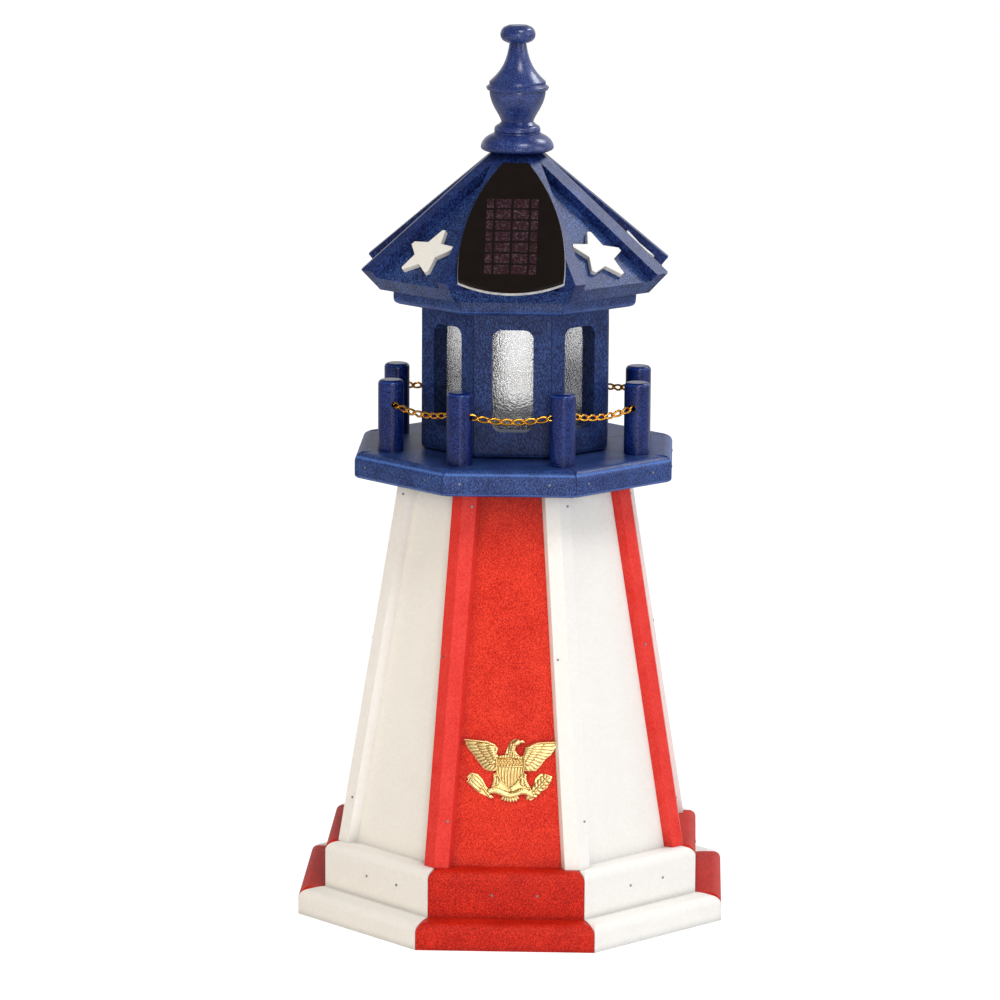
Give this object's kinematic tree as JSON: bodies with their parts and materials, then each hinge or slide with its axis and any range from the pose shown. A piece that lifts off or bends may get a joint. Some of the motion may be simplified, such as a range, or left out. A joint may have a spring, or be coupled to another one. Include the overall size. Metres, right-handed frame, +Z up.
{
  "type": "garden lighthouse ornament",
  "caption": "Eight-sided wooden garden lighthouse on a stepped base, with a railed gallery, windowed lantern room and a lift-off roof that carries a small solar light.",
  "frame": {"origin": "middle of the underside of the lower base tier", "axes": "+Z up; the front face, with the emblem and the solar panel, looks along -Y; +X to the right seen from the front"},
  "size_m": [0.292, 0.292, 0.6108],
  "materials": {
    "red_paint": "sponged red paint, semi-gloss",
    "white_paint": "warm white paint, semi-gloss",
    "blue_paint": "sponged dark blue paint, glossy",
    "red_batten_paint": "smooth red paint, semi-gloss",
    "white_batten_paint": "smooth white paint, semi-gloss",
    "blue_batten_paint": "smooth dark blue paint, glossy",
    "finial_paint": "dark blue paint on turned wood, glossy",
    "white_star_paint": "white paint, satin",
    "gold_chain": "polished gold colour",
    "gold_emblem": "gilt casting, satin",
    "textured_pane": "hammered clear sheet",
    "steel": "bright steel",
    "bare_wood": "unpainted softwood",
    "pale_plastic": "pale moulded plastic",
    "black_panel": "glossy black",
    "solar_cell": "dark purple-brown cells",
    "wire_sheath": "dark red sheath",
    "case_plastic": "black moulded plastic",
    "circuit_board": "green lacquered board",
    "lamp_lens": "milky lamp",
    "cell_wrap": "green shrink wrap",
    "switch_plastic": "light grey plastic"
  },
  "bodies": {
    "house": {"lower_base_board_1": "red_paint", "lower_base_board_2": "white_paint", "lower_base_board_3": "red_paint", "lower_base_board_4": "white_paint", "lower_base_board_5": "red_paint", "lower_base_board_6": "white_paint", "lower_base_board_7": "red_paint", "lower_base_board_8": "white_paint", "upper_base_board_1": "red_paint", "upper_base_board_2": "white_paint", "upper_base_board_3": "red_paint", "upper_base_board_4": "white_paint", "upper_base_board_5": "red_paint", "upper_base_board_6": "white_paint", "upper_base_board_7": "red_paint", "upper_base_board_8": "white_paint", "tower_panel_1": "red_paint", "tower_panel_2": "white_paint", "tower_panel_3": "red_paint", "tower_panel_4": "white_paint", "tower_panel_5": "red_paint", "tower_panel_6": "white_paint", "tower_panel_7": "red_paint", "tower_panel_8": "white_paint", "red_battens": "red_batten_paint", "white_battens": "white_batten_paint", "deck_boards": "blue_paint", "posts": "blue_paint", "chain": "gold_chain", "lantern_wall_1": "blue_paint", "lantern_wall_2": "blue_paint", "lantern_wall_3": "blue_paint", "lantern_wall_4": "blue_paint", "lantern_wall_5": "blue_paint", "lantern_wall_6": "blue_paint", "lantern_wall_7": "blue_paint", "lantern_wall_8": "blue_paint", "window_panes": "textured_pane", "eagle_emblem": "gold_emblem", "brads": "steel"},
    "roof": {"cornice_boards": "blue_paint", "locating_ring": "blue_paint", "roof_boards": "blue_paint", "hip_strips": "blue_batten_paint", "roof_hub": "bare_wood", "stars": "white_star_paint", "finial": "finial_paint", "finial_dowel": "bare_wood", "solar_back": "pale_plastic", "solar_front": "black_panel", "solar_cells": "solar_cell", "solar_wire": "wire_sheath", "light_case": "case_plastic", "case_top": "case_plastic", "case_screws": "steel", "circuit_board": "circuit_board", "lamp": "lamp_lens", "cell": "cell_wrap"},
    "battery_door": {"battery_door": "case_plastic"},
    "switch_slider": {"switch_slider": "switch_plastic"}
  },
  "joints": [
    {"name": "roof_lift", "type": "slide", "parent": "house", "child": "roof", "axis": [0, 0, 1], "range_m": [0, 0.09]},
    {"name": "battery_door_pull", "type": "slide", "parent": "roof", "child": "battery_door", "axis": [0, 0, -1], "range_m": [0, 0.025]},
    {"name": "switch_slide", "type": "slide", "parent": "roof", "child": "switch_slider", "axis": [1, 0, 0], "range_m": [0, 0.003]}
  ]
}
